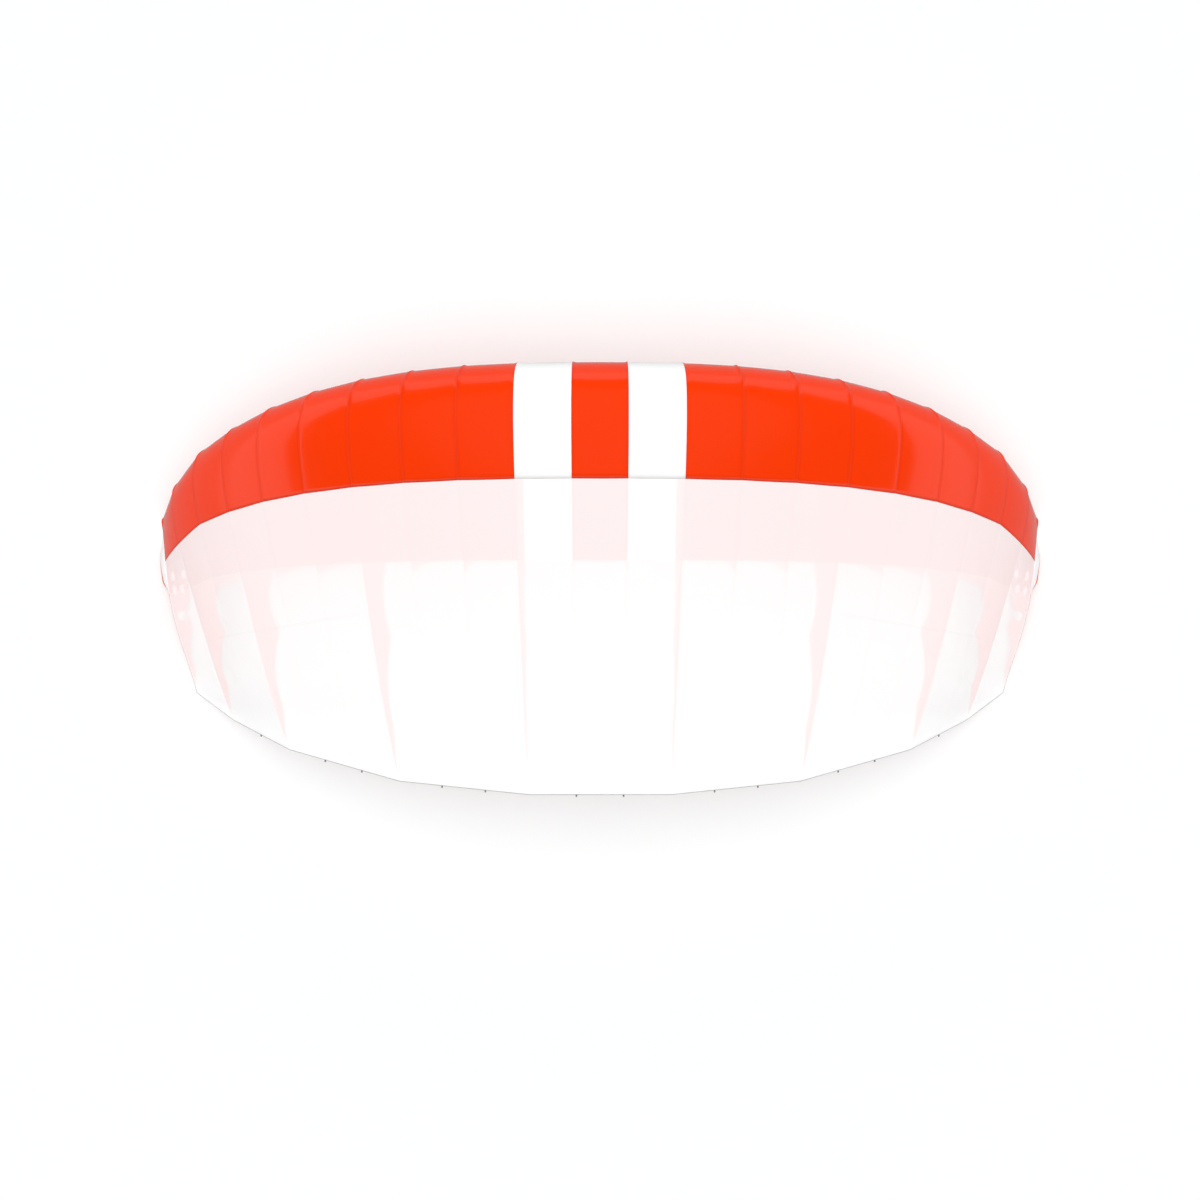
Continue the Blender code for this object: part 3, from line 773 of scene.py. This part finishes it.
def stand_in(piece, node, slot, rows):
    """The piece takes a node's place in the frame, and the size it was cut to is worked out."""
    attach(piece, "root")
    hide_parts(node)
    width = max(row_length(row) for row in rows)
    length = max(column_length(rows, column) for column in range(len(rows[0])))
    area = min(cut_area(rows), width * length)


def fold_hem(rows, normals):
    """Rows that turn the last edge under and lay it back against the cloth."""
    edge, before = rows[-1], rows[-2]
    folded = []
    for past, up, back in HEM_TURNS:
        row = []
        for point, last, normal in zip(edge, before, normals):
            aft = (point - last).normalized()
            row.append(point + aft * (past * HEM_FOLD - back * HEM) + normal * up * HEM_FOLD)
        folded.append(row)
    return rows + folded


# ---------------------------------------------------------------- the pieces
def side_name(number):
    """Which side of the wing a number of cells lies on."""
    return "right" if number > 0 else "left"


def front_panels():
    """Name, first rib, last rib and colour of each panel across the front, the same on both skins."""
    end, stripe_out, stripe_in = RIBS[-1], RIBS[1], RIBS[0]
    return (
        ("left", -end, -stripe_out, "red"),
        ("stripe_left", -stripe_out, -stripe_in, "white"),
        ("centre", -stripe_in, stripe_in, "red"),
        ("stripe_right", stripe_in, stripe_out, "white"),
        ("right", stripe_out, end, "red"),
    )


SLOTS = {"red": "orange_red_cloth", "white": "white_cloth"}


def skin_rows(columns, roots):
    """Placed points of the skin at each root and column."""
    return [[place(skin_point(span, root)[0]) for span in columns] for root in roots]


def make_upper_front(materials):
    """The band of upper skin behind the leading edge."""
    roots = spread(-NOSE_SEAM, math.sqrt(BAND_END), BAND_STEPS)
    for name, first, last, colour in front_panels():
        columns = cell_columns(first, last)
        rows = skin_rows(columns, roots)
        across = [span * CELL_WIDTH for span in columns]
        cloths = [materials[colour], materials[colour + "_inside"]]
        node = "upper_front_" + name
        piece = make_sheet("cloth_" + node, rows, across, cloths, CLOTH, flip=True)
        stand_in(piece, node, SLOTS[colour], rows)


def make_upper_rear(materials):
    """The upper skin from the band to the trailing edge, one thin layer with a folded hem."""
    right_seams = list(PANEL_SEAMS) + [RIBS[-1]]
    edges = [-seam for seam in reversed(right_seams)] + right_seams
    names = ("left_outer", "left_middle", "left_inner", "centre",
             "right_inner", "right_middle", "right_outer")
    roots = [math.sqrt(station) for station in spread(BAND_END, 1.0, REAR_STEPS)]
    for name, first, last in zip(names, edges, edges[1:]):
        columns = cell_columns(first, last)
        rows = skin_rows(columns, roots)
        normals = [skin_point(span, roots[-1])[1] for span in columns]
        across = [span * CELL_WIDTH for span in columns]
        hemmed = fold_hem(rows, normals)
        node = "upper_rear_" + name
        fold = len(hemmed) - len(rows)
        stations = [root * root for root in roots] + [1.0] * fold
        piece = make_sheet("cloth_" + node, hemmed, across, [materials["thin"], materials["lined"]],
                           hem=fold, flip=True, stations=stations)
        stand_in(piece, node, "white_cloth", hemmed)


def wrap_points(side, root):
    """Points of the lower skin where it goes on past a tip rib and up to the cap, from the rib outwards."""
    return [place(tip_point(side, root, down)) for down in spread(1.0, cap_edge(root), WRAP_STEPS)[1:]]


def make_lower_skin(materials):
    """The lower skin, whose outer panels also close the underside of the tips."""
    roots = spread(-NOSE_SEAM, -math.sqrt(LOWER_END), LOWER_STEPS)
    for name, first, last, colour in front_panels():
        columns = cell_columns(first, last)
        rows = skin_rows(columns, roots)
        across = [span * CELL_WIDTH for span in columns]
        side = 1 if last == RIBS[-1] else -1
        if RIBS[-1] in (last, -first):
            wrapped = [wrap_points(side, root) for root in roots]
            middle = len(roots) // 2
            start = rows[middle][-1] if side > 0 else rows[middle][0]
            reach = [row_length([start] + wrapped[middle][:count + 1]) for count in range(WRAP_STEPS)]
            beyond = [side * (RIBS[-1] * CELL_WIDTH + length) for length in reach]
            if side > 0:
                rows = [row + more for row, more in zip(rows, wrapped)]
                across = across + beyond
            else:
                rows = [list(reversed(more)) + row for row, more in zip(rows, wrapped)]
                across = list(reversed(beyond)) + across
        cloths = [materials[colour], materials[colour + "_inside"],
                  materials[colour], materials["tip_inside"]]
        node = "lower_" + name
        piece = make_sheet("cloth_" + node, rows, across, cloths, CLOTH, beyond=RIBS[-1] * CELL_WIDTH)
        stand_in(piece, node, SLOTS[colour], rows)


def make_tip_caps(materials):
    """The white panel that closes each tip from the upper skin's edge down to the lower skin's."""
    roots = spread(-NOSE_SEAM, -math.sqrt(LOWER_END), LOWER_STEPS)
    for side in (-1, 1):
        rows = [[place(tip_point(side, root, down)) for down in spread(0.0, cap_edge(root), CAP_STEPS)]
                for root in roots]
        middle = rows[len(rows) // 2]
        across = [row_length(middle[:count + 1]) for count in range(len(middle))]
        node = "tip_cap_" + side_name(side)
        piece = make_sheet("cloth_" + node, rows, across, [materials["cap"]], CLOTH, flip=side > 0)
        stand_in(piece, node, "white_cloth", rows)


def scallop_depth(station):
    """Depth of a main rib's free lower edge below the upper skin, in chords."""
    for (start, start_depth, _), (end, end_depth, sag) in zip(EDGE_POINTS, EDGE_POINTS[1:]):
        if station <= end:
            share = (station - start) / (end - start)
            return start_depth + (end_depth - start_depth) * share - sag * 4.0 * share * (1.0 - share)
    last, last_depth, _ = EDGE_POINTS[-1]
    return last_depth * (1.0 - (station - last) / (RIB_TAIL - last))


def rib_rows(rib, full, inset):
    """Rows of points of a rib from nose to tail, each from its top edge down to its bottom edge."""
    scallop_start = EDGE_POINTS[0][0]
    if full:
        fronts = spread(RIB_START, math.sqrt(LOWER_END), RIB_STEPS // 2)
        tail = RIB_TAIL - RIB_TAIL_SHORT
        rears = [math.sqrt(station) for station in spread(scallop_start, tail, RIB_STEPS)]
        roots = fronts + rears
    else:
        roots = spread(RIB_START, math.sqrt(LOWER_END) - CELL_RIB_SHORT, RIB_STEPS // 2)
    rows = []
    for root in roots:
        station = root * root
        top = Vector(rib.outline(root, inset))
        if station <= LOWER_END:
            bottom = Vector(rib.outline(-root, inset))
        else:
            height = rib.upper(station) - scallop_depth(station)
            bottom = Vector((station * rib.chord, height * rib.chord))
            bottom.y = min(bottom.y, top.y - RIB_LEAST)
        row = [raised(rib, *top.lerp(bottom, share)) for share in spread(0.0, 1.0, RIB_LAYERS)]
        rows.append([place(rib.point(*point)) for point in row])
    return rows


def cut_vents(piece, rib):
    """Cut a tip rib's vents through it."""
    for station, depth, length, width in TIP_VENTS:
        centre = place(rib.point(station * rib.chord, (rib.upper(station) - depth) * rib.chord))
        cutter = bmesh.new()
        bmesh.ops.create_cone(cutter, cap_ends=True, segments=VENT_STEPS,
                              radius1=0.5, radius2=0.5, depth=VENT_CUT)
        for vertex in cutter.verts:
            aft, up, through = vertex.co
            vertex.co = centre + rib.aft * aft * length + rib.up * up * width + rib.out * through
        bmesh.ops.recalc_face_normals(cutter, faces=cutter.faces)
        mesh = bpy.data.meshes.new("vent")
        cutter.to_mesh(mesh)
        cutter.free()
        vent = bpy.data.objects.new("vent", mesh)
        bpy.context.scene.collection.objects.link(vent)
        hole = piece.modifiers.new("vent", "BOOLEAN")
        hole.operation = "DIFFERENCE"
        hole.solver = "MANIFOLD"
        hole.object = vent
        yield vent


def apply_modifiers(piece):
    """Replace a piece's mesh with what its modifiers make of it."""
    bpy.context.view_layer.update()
    evaluated = piece.evaluated_get(bpy.context.evaluated_depsgraph_get())
    final = bpy.data.meshes.new_from_object(evaluated)
    piece.modifiers.clear()
    piece.data = final


def make_ribs(materials):
    """Cell ribs end with the lower skin; main ribs run the full chord, and the tip ones have vents."""
    for order, number in enumerate(RIBS, start=1):
        for side in (-1, 1):
            rib = RIB_AT[side * number]
            tip = number == RIBS[-1]
            rows = rib_rows(rib, number in MAIN_RIBS, TIP_SKIN_TO_RIB if tip else SKIN_TO_RIB)
            columns = [list(column) for column in zip(*rows)]
            across = [row_length(columns[0][:count + 1]) for count in range(len(rows))]
            node = "rib_%s_%02d" % (side_name(side), order)
            piece = make_sheet("cloth_" + node, columns, across, [materials["rib"]], RIB_CLOTH, flip=side > 0)
            if tip:
                vents = list(cut_vents(piece, rib))
                apply_modifiers(piece)
                for vent in vents:
                    bpy.data.objects.remove(vent)
            stand_in(piece, node, "orange_red_cloth", columns)


def make_tabs(materials):
    """Loops of webbing on the trailing edge, at each cell seam that has no main rib."""
    free = [number for number in RIBS if number not in MAIN_RIBS]
    for order, number in enumerate(free, start=1):
        for side in (-1, 1):
            seam = side * number
            edge = place(rib_line(seam, 1.0))
            beside = place(rib_line(seam + side, 1.0)) - place(rib_line(seam - side, 1.0))
            across = beside.normalized()
            aft = RIB_AT[seam].aft
            aft = (aft - across * aft.dot(across)).normalized()
            node = "tab_%s_%d" % (side_name(side), order)
            piece = make_tab("webbing_" + node, edge, aft, across, materials["webbing"])
            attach(piece, "root")
            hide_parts(node)


def make_tab(name, edge, aft, across, material):
    """One tab: a short strip with a round end and an eye, lying behind the edge."""
    curve = bpy.data.curves.new(name, "CURVE")
    curve.dimensions = "2D"
    curve.fill_mode = "BOTH"
    curve.extrude = 0.5 * TAB_THICKNESS - TAB_ROUNDING
    curve.bevel_depth = TAB_ROUNDING
    curve.bevel_resolution = 2
    half = 0.5 * TAB_WIDTH - TAB_ROUNDING
    front = TAB_GAP + TAB_ROUNDING
    middle = TAB_GAP + TAB_LENGTH - 0.5 * TAB_WIDTH
    turn = [math.pi * (i / TAB_STEPS - 0.5) for i in range(TAB_STEPS + 1)]
    outline = [(front, -half)]
    outline += [(middle + half * math.cos(angle), half * math.sin(angle)) for angle in turn]
    outline.append((front, half))
    eye = 0.5 * TAB_HOLE + TAB_ROUNDING
    hole = [(middle + eye * math.cos(2.0 * angle), eye * math.sin(2.0 * angle)) for angle in turn[:-1]]
    for loop in (outline, hole):
        spline = curve.splines.new("POLY")
        spline.points.add(len(loop) - 1)
        for point, (along, beside) in zip(spline.points, loop):
            point.co = (along, beside, 0.0, 1.0)
        spline.use_cyclic_u = True
    curve.materials.append(material)
    tab = bpy.data.objects.new(name, curve)
    through = aft.cross(across)
    for row in range(3):
        tab.matrix_world[row][0:4] = (aft[row], across[row], through[row], edge[row])
    bpy.context.scene.collection.objects.link(tab)
    return tab


# ---------------------------------------------------------------- floor, light and camera
FLOOR_SIZE = 30.0
FLOOR_COLOUR = (0.83, 0.85, 0.85, 1.0)
FLOOR_ROUGHNESS = 0.9
FLOOR_GLOSS = 0.1
KEY = 3.28                     # strength of the soft light overhead
KEY_SPREAD = math.radians(70.0)    # how wide it looks from the wing
KEY_LEAN = math.radians(8.0)   # how far in front of overhead it stands
WALL_BRIGHTNESS = 0.92         # the bright wall all round, as far up as WALL_TOP
WALL_TOP = math.radians(23.5)
WALL_SOFTNESS = 0.01           # of its upper edge, as a sine
CEILING_BRIGHTNESS = 0.03
GROUND_SHARE = 0.5             # of the wall's brightness that is left below the horizon
HORIZON_SOFTNESS = 0.05

LENS = 39.0
SENSOR = 36.0
CAMERA_PLACE = (0.0, 0.3660, 4.8237)
CAMERA_TILT = math.radians(5.5)


def make_floor():
    """A plain pale floor."""
    mesh = bpy.data.meshes.new("floor")
    shape = bmesh.new()
    bmesh.ops.create_grid(shape, x_segments=1, y_segments=1, size=0.5 * FLOOR_SIZE)
    shape.to_mesh(mesh)
    shape.free()
    floor = bpy.data.objects.new("floor", mesh)
    nodes = Nodes("floor_paint")
    nodes.shader.inputs["Base Color"].default_value = FLOOR_COLOUR
    nodes.shader.inputs["Roughness"].default_value = FLOOR_ROUGHNESS
    nodes.shader.inputs["Specular IOR Level"].default_value = FLOOR_GLOSS
    mesh.materials.append(nodes.material)
    bpy.context.scene.collection.objects.link(floor)
    floor.visible_glossy = False


def make_light():
    """Soft light from above, and a bright wall all round that the coated cloth mirrors."""
    light = bpy.data.lights.new("key", "SUN")
    light.energy = KEY
    light.angle = KEY_SPREAD
    lamp = bpy.data.objects.new("key", light)
    lamp.rotation_euler = (-KEY_LEAN, 0.0, 0.0)
    lamp.visible_glossy = False
    bpy.context.scene.collection.objects.link(lamp)

    world = bpy.data.worlds.new("studio")
    bpy.context.scene.world = world
    world.use_nodes = True
    tree = world.node_tree
    coords = tree.nodes.new("ShaderNodeTexCoord")
    parts = tree.nodes.new("ShaderNodeSeparateXYZ")
    level = tree.nodes.new("ShaderNodeMapRange")
    tree.links.new(coords.outputs["Generated"], parts.inputs[0])
    tree.links.new(parts.outputs["Z"], level.inputs["Value"])
    edge = math.sin(WALL_TOP)
    level.inputs["From Min"].default_value = edge - WALL_SOFTNESS
    level.inputs["From Max"].default_value = edge + WALL_SOFTNESS
    level.inputs["To Min"].default_value = WALL_BRIGHTNESS
    level.inputs["To Max"].default_value = CEILING_BRIGHTNESS
    ground = tree.nodes.new("ShaderNodeMapRange")
    tree.links.new(parts.outputs["Z"], ground.inputs["Value"])
    ground.inputs["From Min"].default_value = -HORIZON_SOFTNESS
    ground.inputs["From Max"].default_value = HORIZON_SOFTNESS
    ground.inputs["To Min"].default_value = GROUND_SHARE
    both = tree.nodes.new("ShaderNodeMath")
    both.operation = "MULTIPLY"
    tree.links.new(level.outputs[0], both.inputs[0])
    tree.links.new(ground.outputs[0], both.inputs[1])
    tree.links.new(both.outputs[0], tree.nodes["Background"].inputs["Strength"])
    tree.nodes["Background"].inputs["Color"].default_value = (1.0, 1.0, 1.0, 1.0)


def make_camera():
    """The camera over the wing, looking down and a little back."""
    lens = bpy.data.cameras.new("camera")
    lens.lens = LENS
    lens.sensor_width = SENSOR
    camera = bpy.data.objects.new("camera", lens)
    camera.location = CAMERA_PLACE
    camera.rotation_euler = (-CAMERA_TILT, 0.0, 0.0)
    bpy.context.scene.collection.objects.link(camera)
    bpy.context.scene.camera = camera
    bpy.context.scene.view_settings.view_transform = "Standard"


def main():
    """Build the looks on the frame."""
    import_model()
    materials = make_materials()
    make_upper_front(materials)
    make_upper_rear(materials)
    make_lower_skin(materials)
    make_tip_caps(materials)
    make_ribs(materials)
    make_tabs(materials)
    make_floor()
    make_light()
    make_camera()


main()
